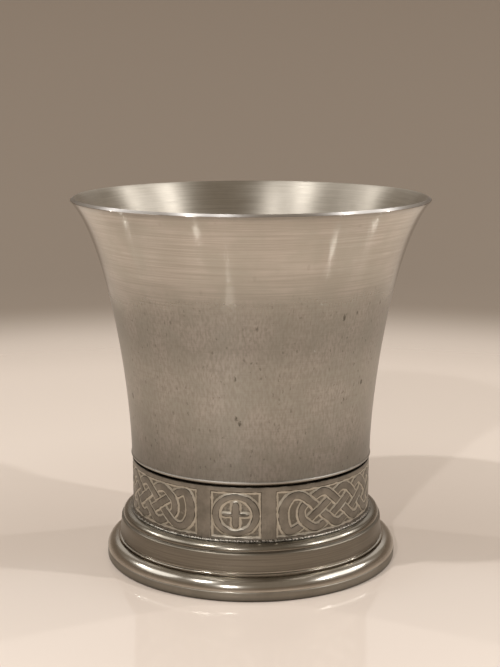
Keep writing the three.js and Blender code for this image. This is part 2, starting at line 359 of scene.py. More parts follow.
def polished_pewter():
    """Turned and polished: bright flange, satin edge and shoulder, dull streaked collar, foot ring darkened
    towards the table as painted shade.
    """
    material, tree, shader = metal("polished_pewter", foot_anisotropy)
    _, height, _, _ = place_on_surface(tree)
    lines = effect(tree, turning_lines, Fineness=5200.0, Breaks=45.0)
    cloud = effect(tree, tarnish, Scale=90.0)
    bright = blend_colours(tree, cloud, *flange_colours)
    satin = blend_colours(tree, cloud, *shoulder_colours)
    dull = blend_colours(tree, ramp(tree, lines, *noise_core), *collar_colours)
    above_neck = ramp(tree, height, (collar_foot - neck_fade) * MM, collar_foot * MM)
    above_collar = ramp(tree, height, collar_top * MM, shoulder_foot * MM)
    on_edge = ramp(tree, height, *[(flange_edge - drop) * MM for drop in edge_fade])
    smooth = ramp(tree, lines, *noise_range, *flange_roughness)
    softer = ramp(tree, lines, *noise_range, *collar_roughness)
    crisp = ramp(tree, lines, *noise_range, *shoulder_roughness)
    rough = ramp(tree, lines, *noise_range, *edge_roughness)
    upper_roughness = blend(tree, above_collar, softer, crisp)
    roughness = blend(tree, on_edge, blend(tree, above_neck, smooth, upper_roughness), rough)
    upper = blend_colours(tree, above_collar, dull, satin)
    lower = blend_colours(tree, on_edge, bright, satin)
    colour = blend_colours(tree, above_neck, lower, upper)
    # Painted contact shade towards the table.
    contact_shade = height_tones(tree, height, foot_contact_shade_tones)
    finish(tree, shader, shaded(tree, colour, contact_shade), roughness, lines, foot_scratches)
    return material


foot.data.materials.append(polished_pewter())
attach(foot, "root")
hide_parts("foot")

# Base plate: a pewter disc, turned on its underside, let into the seat under the foot and held there by
# a ring of solder in the corner. It keeps the hollow foot dry and shows only from below.
plate_low, plate_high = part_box("base_plate")
plate_radius = plate_high.x / MM
plate_bottom = plate_low.z / MM
plate_top = plate_high.z / MM
plate_dish = 0.25
plate_dish_slope = 0.6
plate_rim = 2.2
plate_anisotropy = 0.6
plate_colours = ((0.40, 0.37, 0.325, 1), (0.52, 0.485, 0.43, 1))
plate_roughness = (0.30, 0.45)
plate_lines = 0.02
# The solder's dark grains are partly painted shade of the crease the seam lies in.
solder_grain_and_shade_colours = ((0.09, 0.08, 0.065, 1), (0.50, 0.465, 0.41, 1))
solder_contrast = (0.42, 0.62)
solder_roughness = (0.28, 0.45)
solder_grain = 0.05
lump_size = 0.5
lump_share = 0.25
SEAM_STEPS = 720
plate_outline = [
    (0, plate_bottom + plate_dish),
    (plate_radius - plate_rim - plate_dish_slope, plate_bottom + plate_dish),
    (plate_radius - plate_rim, plate_bottom),
    (plate_radius, plate_bottom),
    (plate_radius, plate_top),
    (0, plate_top),
]
plate = turned("turned_base_plate", plate_outline)


def plate_pewter():
    """Plain turned pewter, rougher than the flange."""
    material, tree, shader = metal("plate_pewter", plate_anisotropy)
    lines = effect(tree, turning_lines, Fineness=2600.0, Breaks=30.0)
    cloud = effect(tree, tarnish, Scale=70.0)
    colour = blend_colours(tree, cloud, *plate_colours)
    finish(tree, shader, colour, ramp(tree, lines, *noise_range, *plate_roughness), lines, plate_lines)
    return material


def solder_metal():
    """Solder with bright grains between dark ones; the dark grains are also painted shade in the seam's
    crease.
    """
    material, tree, shader = metal("solder", 0.0)
    spot, _, _, _ = place_on_surface(tree)
    grain = noise(tree, spot, scale=2600.0)
    colour = blend_colours(tree, ramp(tree, grain, *solder_contrast), *solder_grain_and_shade_colours)
    finish(tree, shader, colour, ramp(tree, grain, *noise_range, *solder_roughness), grain, solder_grain)
    return material


plate.data.materials.append(plate_pewter())
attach(plate, "root")
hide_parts("base_plate")
solder = solder_metal()
solder_grains = bpy.data.textures.new("solder_grains", "CLOUDS")
solder_grains.noise_scale = lump_size * MM


def solder_seam(name, node, outwards):
    """A lumpy ring of solder with a hollow face, in the corner that its node fills."""
    low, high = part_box(node)
    outer = high.x / MM
    leg = (high.z - low.z) / MM
    if outwards:
        corner = (outer - leg, low.z / MM)
        face = arc(outer, high.z / MM, leg, leg, 270, 180)
    else:
        corner = (outer, high.z / MM)
        face = arc(outer - leg, low.z / MM, leg, leg, 90, 0)
    seam = turned(name, [corner, *face, corner], edge=0, steps=SEAM_STEPS)
    bpy.ops.object.modifier_add(type="DISPLACE")
    lumps = seam.modifiers[-1]
    lumps.texture = solder_grains
    lumps.strength = lump_share * leg * MM
    bpy.ops.object.modifier_apply(modifier=lumps.name)
    seam.data.materials.append(solder)
    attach(seam, "root")
    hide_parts(node)


solder_seam("plate_seam", "base_plate_solder", outwards=False)

# Ornament strip: cast flat in pewter with plain edges, pillars, ringed crosses and panels of plaited
# ribbons standing above a sunk floor, then bent round the sleeve and soldered with its ends in a pillar.
band_low, band_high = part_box("ornament_band")
band_bottom = band_low.z / MM
band_height = (band_high.z - band_low.z) / MM
band_radius = band_high.x / MM
band_thickness = 1.5
relief = 0.3
wall_run = 0.6
edge_run = 0.2
edge_fall = 0.06
BLOCK_CUTS = 7
top_rail = 1.2
bottom_rail = 0.8
repeats = 3
cross_panel = 11.9
pillar_width = 3.65
plait_turns = 4
plait_end = 7.8
plait_lean = 0.2
ribbon_width = 2.1
ribbon_top = 1.7
end_arc_width = 2.9
end_arc_top = 2.45
ribbon_margin = 0.2
inner_arc_depth = 1.55
turn_columns = 4
over_columns = (1, 3, 6)
sharpness = 0.93
quarter_round = 0.55
trough_depth = 0.16
trough_length = 5.0
ring_middle = (4.83, 4.47)
ring_top = 1.27
ring_side_top = 1.75
upright_width = 1.75
upright_length = 6.3
arm_width = 0.75
arm_length = 6.5
arm_drop = 0.012
pillar_drop = 0.004
cross_rounding = 0.6
buried = 0.3
arc_overlap = 0.05
strip_steps = (16, 15)
strip_smooth_angle = math.radians(28)
end_reach = 0.001
cut_reach = 0.0001
RING_STEPS = 72
# An edge or a normal lies along an axis when more than this share of its length does.
MOSTLY = 0.9

strip_length = math.tau * band_radius
repeat_length = strip_length / repeats
panel_height = band_height - top_rail - bottom_rail
knot_length = repeat_length - cross_panel - 2 * pillar_width
column = (knot_length - 2 * plait_end) / (2 * plait_turns)
reach = panel_height / 2 - ribbon_width / 2 - ribbon_margin
outer_turn = (plait_turns + 1) * column
outer_end = knot_length / 2 - end_arc_width / 2 - ribbon_margin
inner_start = plait_turns * column
pillar_place = (cross_panel + pillar_width) / 2
strip_end = repeat_length + pillar_place
strip_start = strip_end - strip_length
spare = pillar_width


def select_edges(piece, wanted):
    """Selects, in edit mode, the edges whose direction is the wanted one."""
    bpy.ops.mesh.select_mode(type="EDGE")
    bpy.ops.mesh.select_all(action="DESELECT")
    bpy.ops.object.mode_set(mode="OBJECT")
    mesh = piece.data
    for edge in mesh.edges:
        first, second = (mesh.vertices[i].co for i in edge.vertices)
        edge.select = wanted(second - first)
    bpy.ops.object.mode_set(mode="EDIT")


def select_faces(piece, wanted):
    """Selects, in edit mode, the faces whose normal is the wanted one."""
    bpy.ops.mesh.select_mode(type="FACE")
    bpy.ops.mesh.select_all(action="DESELECT")
    bpy.ops.object.mode_set(mode="OBJECT")
    for face in piece.data.polygons:
        face.select = wanted(face.normal)
    bpy.ops.object.mode_set(mode="EDIT")


def rail(edge):
    """Half of the strip's section: a flat rail along its edge, sloping down to the sunk floor."""
    inner = panel_height / 2
    return [
        (edge, relief - edge_fall),
        (edge - edge_run, relief),
        (inner + edge_run, relief),
        (inner, relief - edge_fall),
        (inner - wall_run, 0),
    ]


def flat_strip():
    """The plain strip with its two rails, lying flat: x along it, y across it, z above its floor."""
    top = panel_height / 2 + top_rail
    bottom = panel_height / 2 + bottom_rail
    root = relief - band_thickness
    section = [(top, root), *rail(top), *[(-y, z) for y, z in reversed(rail(bottom))], (-bottom, root)]
    strip = drawn_line("ornament_strip", [(strip_start - spare, y, z) for y, z in section])
    bpy.ops.object.mode_set(mode="EDIT")
    bpy.ops.mesh.select_all(action="SELECT")
    bpy.ops.mesh.edge_face_add()
    whole_length = ((strip_length + 2 * spare) * MM, 0, 0)
    bpy.ops.mesh.extrude_region_move(TRANSFORM_OT_translate={"value": whole_length})
    for steps in strip_steps:
        select_edges(strip, lambda edge: abs(edge.x) > MOSTLY * edge.length)
        bpy.ops.mesh.subdivide(number_cuts=steps - 1)
    close_mesh()
    bpy.ops.object.mode_set(mode="OBJECT")
    return strip


def raised_block(name, width, length, height, rounding=0.0):
    """A flat-topped boss rooted in the strip: sloping and rounded all round, or only sloping at two sides."""
    slope_top = height - edge_fall
    root = 2 * wall_run * (slope_top + buried) / slope_top
    end_root = root if rounding else 0.0
    bpy.ops.object.select_all(action="DESELECT")
    bpy.ops.mesh.primitive_cube_add(size=MM)
    piece = bpy.context.object
    piece.name = name
    bpy.ops.object.mode_set(mode="EDIT")
    bpy.ops.transform.resize(value=(width + root, length + end_root, slope_top + buried))
    bpy.ops.transform.translate(value=(0, 0, (slope_top - buried) / 2 * MM))
    if rounding:
        select_edges(piece, lambda edge: abs(edge.z) > MOSTLY * edge.length)
        bpy.ops.mesh.bevel(offset=(rounding + root / 2) * MM, segments=ROUND_STEPS, affect="EDGES")
    select_faces(piece, lambda normal: normal.z > MOSTLY)
    bpy.ops.transform.resize(value=(width / (width + root), length / (length + end_root), 1))
    bpy.ops.mesh.inset(thickness=edge_run * MM)
    bpy.ops.transform.translate(value=(0, 0, edge_fall * MM))
    select_edges(piece, lambda edge: abs(edge.x) > MOSTLY * edge.length and edge.length > edge_run * MM)
    bpy.ops.mesh.subdivide(number_cuts=BLOCK_CUTS)
    close_mesh()
    bpy.ops.object.mode_set(mode="OBJECT")
    return piece


def drawn_curve(name, places, closed=False, broadness=None):
    """A curve drawn through places given in millimetres, with its breadth at each of them if asked."""
    bpy.ops.object.select_all(action="DESELECT")
    bpy.ops.curve.primitive_nurbs_path_add()
    curve = bpy.context.object
    curve.name = name
    curve.data.splines.clear()
    spline = curve.data.splines.new("POLY")
    spline.points.add(len(places) - 1)
    for spot, place in zip(spline.points, places):
        spot.co = (*[c * MM for c in place], 1)
        spot.radius = broadness(*place[:2]) if broadness else 1.0
    spline.use_cyclic_u = closed
    return curve


def ribbon_section(name, top_width):
    """Cross-section of a ribbon: sloping sides, dropped edges and a flat top at height 0."""
    top = top_width / 2
    depth = relief + buried / 2
    right = [
        (top + wall_run * (depth - edge_fall) / (relief - edge_fall), -depth),
        (top, -edge_fall),
        (top - edge_run, 0),
    ]
    left = [(-x, y) for x, y in reversed(right)]
    section = drawn_curve(name, [(x, y, 0) for x, y in right + left], closed=True)
    section.data.dimensions = "2D"
    return section


def raised_ribbon(name, places, section, broadness, closed=False):
    """A ribbon swept along its places, with its top at the height of the relief."""
    ribbon = drawn_curve(name, [(x, y, relief) for x, y in places], closed, broadness)
    ribbon.data.twist_mode = "Z_UP"
    ribbon.data.bevel_mode = "OBJECT"
    ribbon.data.bevel_object = section
    ribbon.data.use_fill_caps = not closed
    bpy.ops.object.convert(target="MESH")
    bpy.ops.object.mode_set(mode="EDIT")
    close_mesh()
    bpy.ops.object.mode_set(mode="OBJECT")
    return bpy.context.object


def plait_place(x, first_turn, mirror):
    """Where a ribbon of the plait lies along the strip and across it; turns are counted in columns."""
    phase = math.pi * (x / column - first_turn) / turn_columns
    y = mirror * reach * math.asin(sharpness * math.cos(phase)) / math.asin(sharpness)
    return x + plait_lean * y, y


def end_arc(middle, end, handle):
    """Half an arc, from the panel's middle line to the end of a ribbon's run."""
    start = (middle, -math.copysign(arc_overlap, end[1]))
    upright = (middle, quarter_round * end[1])
    return [start, *bezier([(middle, 0), upright, handle, end], 2 * ROUND_STEPS)[:-1]]


def outer_arc(side, end):
    """The nearly round arc that closes the panel's end."""
    middle = side * outer_end
    return end_arc(middle, end, (end[0] + quarter_round * (middle - end[0]), end[1]))


def inner_arc(side, end, before):
    """The shallow arc inside the outer one; it leaves its first crossing on the ribbon's own slope."""
    share = inner_arc_depth / 2 / math.dist(end, before)
    handle = [e + (e - b) * share for e, b in zip(end, before)]
    return end_arc(side * (inner_start + inner_arc_depth), end, handle)


def ribbon_places(first_turn, mirror, steps=180):
    """A whole ribbon: it ends in an outer arc where it turns at the panel's end, and else in an inner one."""
    ends = (-plait_turns - 1, plait_turns + 1)
    left_outer, right_outer = ((end - first_turn) % turn_columns == 0 for end in ends)
    first = -(outer_turn if left_outer else inner_start)
    last = outer_turn if right_outer else inner_start
    run = [plait_place(first + (last - first) * i / steps, first_turn, mirror) for i in range(steps + 1)]
    left = outer_arc(-1, run[0]) if left_outer else inner_arc(-1, run[0], run[1])
    right = outer_arc(1, run[-1]) if right_outer else inner_arc(1, run[-1], run[-2])
    return left + run + right[::-1]


def arc_broadness(x, _):
    """How much broader a ribbon is than in the plait: it swells in its outer arcs."""
    share = min(max((abs(x) - outer_turn) / (outer_end - outer_turn), 0), 1)
    return 1 + (end_arc_top / ribbon_top - 1) * share * share * (3 - 2 * share)


def joined(pieces, name):
    """Several pieces made one object."""
    bpy.ops.object.select_all(action="DESELECT")
    for piece in pieces:
        piece.select_set(True)
    bpy.context.view_layer.objects.active = pieces[0]
    bpy.ops.object.join()
    pieces[0].name = name
    return pieces[0]


def put(piece, place, turn=0.0):
    """Turns a piece about the upright axis, sets it at a place in millimetres and leaves that in its mesh."""
    bpy.ops.object.select_all(action="DESELECT")
    piece.select_set(True)
    bpy.context.view_layer.objects.active = piece
    piece.rotation_euler = (0, 0, turn)
    piece.location = [c * MM for c in place]
    bpy.ops.object.transform_apply(location=True, rotation=True, scale=True)


def copies(piece, moves):
    """The piece itself at the first move and a copy of it at each of the others."""
    made = [piece]
    for _ in moves[1:]:
        each = piece.copy()
        each.data = piece.data.copy()
        bpy.context.collection.objects.link(each)
        made.append(each)
    for each, move in zip(made, moves):
        put(each, move)
    return made


def combine(piece, other, operation):
    """Joins or cuts a piece with another one, which is used up."""
    bpy.ops.object.select_all(action="DESELECT")
    piece.select_set(True)
    bpy.context.view_layer.objects.active = piece
    bpy.ops.object.modifier_add(type="BOOLEAN")
    boolean = piece.modifiers[-1]
    boolean.operation = operation
    boolean.solver = "MANIFOLD"
    boolean.object = other
    bpy.ops.object.modifier_apply(modifier=boolean.name)
    bpy.data.objects.remove(other)


def trough(place, turn):
    """A bar with sloping sides that lies over a ribbon where another one is to pass."""
    slope = wall_run * trough_depth / relief
    width = ribbon_top + 2 * slope
    bpy.ops.object.select_all(action="DESELECT")
    bpy.ops.mesh.primitive_cube_add(size=MM)
    piece = bpy.context.object
    bpy.ops.object.mode_set(mode="EDIT")
    bpy.ops.transform.resize(value=(trough_length, width, 2 * trough_depth))
    select_faces(piece, lambda normal: normal.z > MOSTLY)
    bpy.ops.transform.resize(value=(1, (width + 4 * slope) / width, 1))
    bpy.ops.object.mode_set(mode="OBJECT")
    put(piece, (*place, relief), turn)
    return piece


def cut_under(ribbon, first_turn, mirror):
    """Cuts a ribbon down where it passes under another one.

    From one turn to the next a ribbon meets three others: it goes over, under and over on its way down and
    under, over and under on its way up, and the mirrored ribbon does the opposite.
    """
    troughs = []
    for beat in range(-plait_turns, plait_turns + 1):
        step = (beat - first_turn) % (2 * turn_columns)
        goes_over = step in over_columns
        if step % turn_columns and goes_over != (mirror > 0):
            x, y = plait_place(beat * column, first_turn, mirror)
            ahead_x, ahead_y = plait_place(beat * column + ribbon_margin, first_turn, mirror)
            rise = ahead_y - y
            troughs.append(trough((x, y), math.atan2(-rise, ahead_x - x - 2 * plait_lean * rise)))
    combine(ribbon, joined(troughs, "troughs"), "DIFFERENCE")


def knot_ribbons():
    """The four ribbons of one plaited panel."""
    section = ribbon_section("ribbon_section", ribbon_top)
    ribbons = []
    for first_turn in (-plait_turns - 1, 1 - plait_turns):
        for mirror in (1, -1):
            ribbon = raised_ribbon("ribbon", ribbon_places(first_turn, mirror), section, arc_broadness)
            cut_under(ribbon, first_turn, mirror)
            ribbons.append(ribbon)
    bpy.data.objects.remove(section)
    return ribbons


def ring_broadness(x, _):
    """How much broader the ring is at a place than at its top: it swells towards the pillars."""
    return 1 + (ring_side_top / ring_top - 1) * (x / ring_middle[0]) ** 2


def cross_ring():
    """The ring that stands round a cross, a little wider than tall."""
    section = ribbon_section("ring_section", ring_top)
    wide, tall = ring_middle
    angles = [math.tau * i / RING_STEPS for i in range(RING_STEPS)]
    places = [(wide * math.cos(a), tall * math.sin(a)) for a in angles]
    ring = raised_ribbon("ring", places, section, ring_broadness, closed=True)
    bpy.data.objects.remove(section)
    return ring


crosses = [(i * repeat_length, 0, 0) for i in range(2 - repeats, 2)]
knots = [((i + 0.5) * repeat_length, 0, 0) for i in range(1 - repeats, 1)]
pillars = [(x + side * pillar_place, 0, 0) for x, _, _ in crosses for side in (-1, 1)]
pillars.append((strip_start, 0, 0))
strip = flat_strip()
pillar = raised_block("pillar", pillar_width, panel_height + bottom_rail, relief - pillar_drop)
upright = raised_block("upright", upright_width, upright_length, relief, cross_rounding * upright_width / 2)
arms = raised_block("arms", arm_length, arm_width, relief - arm_drop, cross_rounding * arm_width / 2)
layers = [copies(ribbon, knots) for ribbon in knot_ribbons()]
layers[0] += copies(cross_ring(), crosses) + copies(pillar, pillars)
layers[1] += copies(upright, crosses)
layers[2] += copies(arms, crosses)
for layer in layers:
    combine(strip, joined(layer, "layer"), "UNION")


def join_ends(strip):
    """Merges the two ends of the bent strip where they meet."""
    angle = strip_end / band_radius
    bpy.ops.object.mode_set(mode="EDIT")
    bpy.ops.mesh.select_mode(type="VERT")
    bpy.ops.mesh.select_all(action="DESELECT")
    bpy.ops.object.mode_set(mode="OBJECT")
    for corner in strip.data.vertices:
        x, y, _ = corner.co
        aside = x * math.cos(angle) + y * math.sin(angle)
        outward = x * math.sin(angle) - y * math.cos(angle)
        corner.select = abs(aside) < end_reach * MM and outward > 0
    bpy.ops.object.mode_set(mode="EDIT")
    bpy.ops.mesh.remove_doubles(threshold=end_reach * MM)
    bpy.ops.mesh.select_all(action="SELECT")
    bpy.ops.mesh.normals_make_consistent(inside=False)
    bpy.ops.object.mode_set(mode="OBJECT")


def bent_round(strip):
    """The finished strip cut to length, bent into a ring and set on the sleeve."""
    bpy.ops.object.mode_set(mode="EDIT")
    for end, outward in ((strip_start, -1), (strip_end, 1)):
        bpy.ops.mesh.select_all(action="SELECT")
        cut = {"plane_co": (end * MM, 0, 0), "plane_no": (outward, 0, 0), "threshold": cut_reach * MM}
        bpy.ops.mesh.bisect(clear_outer=True, **cut)
    bpy.ops.mesh.select_all(action="SELECT")
    bpy.ops.mesh.quads_convert_to_tris(quad_method="FIXED", ngon_method="CLIP")
    bpy.ops.object.mode_set(mode="OBJECT")
    strip.rotation_euler = (math.pi / 2, 0, 0)
    strip.location = (0, relief * MM, (band_bottom + bottom_rail + panel_height / 2) * MM)
    bpy.ops.object.transform_apply(location=True, rotation=True, scale=True)
    bpy.ops.object.modifier_add(type="SIMPLE_DEFORM")
    bend = strip.modifiers[-1]
    bend.deform_method = "BEND"
    bend.deform_axis = "Z"
    bend.angle = math.tau
    bpy.ops.object.modifier_apply(modifier=bend.name)
    strip.location = (0, -band_radius * MM, 0)
    bpy.ops.object.transform_apply(location=True, rotation=True, scale=True)
    join_ends(strip)
    bpy.ops.object.shade_smooth_by_angle(angle=strip_smooth_angle)


flat_colours = ((0.20, 0.181, 0.152, 1), (0.305, 0.278, 0.238, 1))
# The slopes are pale from wear and as a painted highlight, lighter than the flats on every side.
slope_wear_and_highlight_colours = ((0.42, 0.385, 0.32, 1), (0.62, 0.575, 0.49, 1))
sunk_colours = ((0.16, 0.143, 0.117, 1), (0.25, 0.228, 0.19, 1))
# A dark line of painted shade along the edges of the raised flats.
painted_edge_shade_colour = (0.08, 0.07, 0.056, 1)
# Near-black painted shade on the strip's top, in the gap under the bowl's heel.
gap_shade_colour = (0.03, 0.026, 0.02, 1)
cast_roughness = (0.40, 0.52)
cast_grain = 0.022
grain_range = (0.2, 0.8)
floor_wear = (-0.03, 0.03)
edge_wear = (-0.04, 0.03)
floor_fade = (0.01, 0.06)
gap_shade_fade = (0.05, 0.02)
edge_shade_falls = (1.5, 1.0)
flat_falls = (0.6, 0.35)


def worn_radius(tree, spot, radius, scale, wear):
    """The distance from the axis made uneven by noise, between two limits in millimetres."""
    shift = ramp(tree, noise(tree, spot, scale), *noise_range, *[limit * MM for limit in wear])
    return maths(tree, "ADD", radius, shift)


def cast_pewter():
    """Satin flats with ragged edges of painted shade, pale slopes worn and lightened as a painted highlight,
    a satin sunk floor, and painted shade in the gap under the bowl.
    """
    material, tree, shader = metal("cast_pewter", 0.0)
    spot, height, radius, _ = place_on_surface(tree)
    grain = noise(tree, spot, scale=3000.0, detail=4.0)
    cloud = effect(tree, tarnish, Scale=220.0)
    uneven = worn_radius(tree, spot, radius, scale=900.0, wear=floor_wear)
    ragged = worn_radius(tree, spot, radius, scale=600.0, wear=edge_wear)
    top = band_radius * MM
    floor_level = (band_radius - relief) * MM
    above_floor = ramp(tree, uneven, *[floor_level + rise * MM for rise in floor_fade])
    on_edge = ramp(tree, ragged, *[top - falls * edge_fall * MM for falls in edge_shade_falls])
    on_flat = ramp(tree, radius, *[top - falls * edge_fall * MM for falls in flat_falls])
    in_gap_shade = ramp(tree, height, *[band_high.z - drop * MM for drop in gap_shade_fade])
    flats = blend_colours(tree, cloud, *flat_colours)
    # Worn slopes lightened as a painted highlight.
    lit_worn_slopes = blend_colours(tree, grain, *slope_wear_and_highlight_colours)
    sunk = blend_colours(tree, grain, *sunk_colours)
    # Painted shade along the raised edges.
    raised = blend_colours(tree, on_edge, lit_worn_slopes, painted_edge_shade_colour)
    relief_colour = blend_colours(tree, above_floor, sunk, blend_colours(tree, on_flat, raised, flats))
    # Painted shade in the gap under the bowl.
    colour = blend_colours(tree, in_gap_shade, relief_colour, gap_shade_colour)
    finish(tree, shader, colour, ramp(tree, grain, *grain_range, *cast_roughness), grain, cast_grain)
    return material


bent_round(strip)
strip.data.materials.clear()
strip.data.materials.append(cast_pewter())
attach(strip, "root")
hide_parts("ornament_band")
solder_seam("band_seam", "band_solder", outwards=True)

# Bowl: spun from one disc of pewter over a former, with a flat floor, a rolled heel and a flared lip.
# Its upper part is burnished with level lines, its lower part satin and pitted, its inside bright.
# The outside carries painted shade by height, and painted highlights at the heel and the lip.
bowl_low, bowl_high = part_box("bowl")
rim_radius = bowl_high.x / MM
bowl_bottom = bowl_low.z / MM
lip_rise = 0.6
lip_width = 1.0
lip_edge = bowl_high.z / MM - lip_rise
heel_radius = 30.0
heel_round = 0.33
heel_roll = 0.17
heel_pull = 15.3
lip_pull = 13.6
flare = math.radians(41.5)
bowl_wall = 1.2
bowl_floor = 1.6
floor_round = 3.0
wall_steps = 64
bowl_edge = 0.12
burnish_low = 63.5
burnish_high = 73.0
burnish_wave = 1.6
# Tones by height on the bowl's outside: partly tarnish, partly painted shade and painted reflection of the
# room, darkest near the foot; the last stop is a painted shadow under the lip.
bowl_tarnish_and_painted_shade = (
    (26.5, 0.53), (30.0, 0.59), (37.0, 0.76), (44.5, 0.87), (51.5, 0.855), (59.0, 0.72),
    (66.0, 0.75), (70.5, 0.745), (75.0, 0.89), (80.0, 0.97), (89.0, 0.98), (89.8, 0.72),
)
satin_anisotropy = 0.4
burnished_anisotropy = 1.0
inside_anisotropy = 0.85
warm_colours = ((0.485, 0.46, 0.405, 1), (0.56, 0.512, 0.462, 1))
line_colour = (0.415, 0.385, 0.336, 1)
mottle_colour = (0.405, 0.376, 0.329, 1)
pit_colour = (0.15, 0.13, 0.105, 1)
# The heel and lip colours are wear and a painted highlight: light lines along the heel's roll and the lip.
heel_wear_and_highlight_colour = (0.43, 0.40, 0.355, 1)
lip_wear_and_highlight_colour = (0.80, 0.77, 0.74, 1)
inside_colours = ((0.42, 0.378, 0.318, 1), (0.60, 0.555, 0.485, 1))
satin_roughness = (0.40, 0.50)
burnished_roughness = (0.12, 0.16)
worn_roughness = 0.55
inside_roughness = (0.44, 0.52)
streak_range = (0.36, 0.64)
fine_share = 0.45
mottle_line_share = 0.3
inside_line_share = 0.5
heel_fade = (0.6, 0.45)
lip_fade = 0.1
pit_wobble = 0.6
pit_slope = (1.0, 0.4)
pit_squeeze = 0.5
grain_squeeze = 0.35
small_pit_strength = 0.5
pit_strengths = (0.12, 0.9)
mottle_relief = 0.12
line_relief = 0.25
outside_marks = 0.02
inside_marks = 0.01


def bowl_outline():
    """Outside, lip and inside of the bowl: the wall is one curve, and the inside is offset from it."""
    heel = (heel_radius, bowl_bottom + heel_round)
    lip = (rim_radius, lip_edge)
    heel_handle = (heel[0], heel[1] + heel_pull)
    lip_handle = (lip[0] - lip_pull * math.sin(flare), lip[1] - lip_pull * math.cos(flare))
    wall = bezier([heel, heel_handle, lip_handle, lip], wall_steps)
    floor_top = bowl_bottom + bowl_floor
    inside = []
    for (r0, z0), (r1, z1) in zip(wall, wall[1:]):
        length = math.hypot(r1 - r0, z1 - z0)
        place = (r0 - bowl_wall * (z1 - z0) / length, z0 + bowl_wall * (r1 - r0) / length)
        if place[1] > floor_top + floor_round:
            inside.append(place)
    roll_radius = heel_radius - heel_round + heel_roll
    floor_radius = heel_radius - bowl_wall - floor_round
    return [
        (0, bowl_bottom),
        *arc(roll_radius, bowl_bottom + heel_round, heel_round, heel_round, -90, 60),
        *wall[1:],
        (rim_radius - lip_width, lip_edge + lip_rise),
        *reversed(inside),
        *arc(floor_radius, floor_top + floor_round, floor_round, floor_round, 0, -90),
        (0, floor_top),
    ]


def drawn_upwards(tree, spot, squeeze):
    """Coordinates with their heights squeezed, so that a pattern on them is drawn out upwards."""
    return add_node(tree, "ShaderNodeMapping", {"Vector": spot, "Scale": (1.0, 1.0, squeeze)}).outputs[0]


def pits_group():
    """Small pits, drawn out upwards, in a share of evenly spread cells."""
    group, given, result = effect_group("pits", {"Spacing": 500.0, "Size": 0.2, "Share": 0.4}, "Pits")
    spot, _, _, _ = place_on_surface(group)
    wobble = add_node(group, "ShaderNodeTexNoise", {"Vector": spot, "Scale": 2500.0}).outputs["Color"]
    shift = scaled(group, wobble, pit_wobble * MM)
    where = added(group, drawn_upwards(group, spot, pit_squeeze), shift)
    cells = add_node(group, "ShaderNodeTexVoronoi", {"Vector": where, "Scale": given.outputs["Spacing"]})
    chance = add_node(group, "ShaderNodeSeparateColor", {0: cells.outputs["Color"]}).outputs[0]
    chosen = maths(group, "LESS_THAN", chance, given.outputs["Share"])
    near = maths(group, "DIVIDE", cells.outputs["Distance"], given.outputs["Size"])
    depth = maths(group, "MULTIPLY", chosen, ramp(group, near, *pit_slope))
    group.links.new(depth, result.inputs["Pits"])
    return group


pits = pits_group()


def bowl_pits(tree):
    """Some large pits among many small and shallower ones."""
    large = effect(tree, pits, Spacing=260.0, Size=0.14, Share=0.5)
    small = effect(tree, pits, Spacing=800.0, Size=0.22, Share=0.6)
    return maths(tree, "MAXIMUM", large, maths(tree, "MULTIPLY", small, small_pit_strength))


def worn_and_highlight_edges(tree, height):
    """Where the heel and the lip are rubbed bare and lightened as a painted highlight, and their colours
    there.
    """
    on_heel = ramp(tree, height, *[(bowl_bottom + rise) * MM for rise in heel_fade])
    on_lip = ramp(tree, height, lip_edge * MM, (lip_edge + lip_fade) * MM)
    colour = blend_colours(tree, on_lip, heel_wear_and_highlight_colour, lip_wear_and_highlight_colour)
    return maths(tree, "MAXIMUM", on_heel, on_lip), colour


def spun_pewter(name, anisotropy):
    """Outside of the bowl: level burnishing lines above, satin with upright grain and pits below, with
    painted shade by height.
    """
    material, tree, shader = metal(name, anisotropy)
    spot, height, _, _ = place_on_surface(tree)
    cloud = effect(tree, tarnish, Scale=55.0)
    wave = ramp(tree, cloud, 0.0, 1.0, -burnish_wave * MM, burnish_wave * MM)
    upper = ramp(tree, maths(tree, "ADD", height, wave), burnish_low * MM, burnish_high * MM)
    low = maths(tree, "SUBTRACT", 1.0, upper)
    lines = effect(tree, turning_lines, Fineness=3200.0, Breaks=40.0)
    fine = effect(tree, turning_lines, Fineness=6000.0, Breaks=60.0)
    streaks = ramp(tree, blend(tree, fine_share, lines, fine), *streak_range)
    grain = noise(tree, drawn_upwards(tree, spot, grain_squeeze), scale=2000.0, detail=5.0)
    mottle = ramp(tree, blend(tree, mottle_line_share, grain, fine), *noise_core)
    patches = ramp(tree, noise(tree, spot, scale=150.0, detail=4.0), *noise_core)
    warm = blend_colours(tree, patches, *warm_colours)
    lined = blend_colours(tree, streaks, line_colour, warm)
    mottled = blend_colours(tree, mottle, mottle_colour, warm)
    plain = blend_colours(tree, upper, mottled, lined)
    pitted = maths(tree, "MULTIPLY", bowl_pits(tree), blend(tree, low, *pit_strengths))
    marked = blend_colours(tree, pitted, plain, pit_colour)
    # The height tones paint shade and reflection into the colour, as well as tarnish.
    shade_toned = shaded(tree, marked, height_tones(tree, height, bowl_tarnish_and_painted_shade))
    # Painted highlight at the heel and the lip, besides the wear there.
    worn, worn_highlight_colour = worn_and_highlight_edges(tree, height)
    colour = blend_colours(tree, worn, shade_toned, worn_highlight_colour)
    satin = blend(tree, mottle, *satin_roughness)
    burnished = ramp(tree, fine, *noise_range, *burnished_roughness)
    roughness = blend(tree, worn, blend(tree, upper, satin, burnished), worn_roughness)
    low_marks = maths(tree, "MULTIPLY", mottle, mottle_relief)
    upper_marks = maths(tree, "MULTIPLY", lines, line_relief)
    marks = maths(tree, "SUBTRACT", blend(tree, upper, low_marks, upper_marks), pitted)
    finish(tree, shader, colour, roughness, marks, outside_marks)
    return material


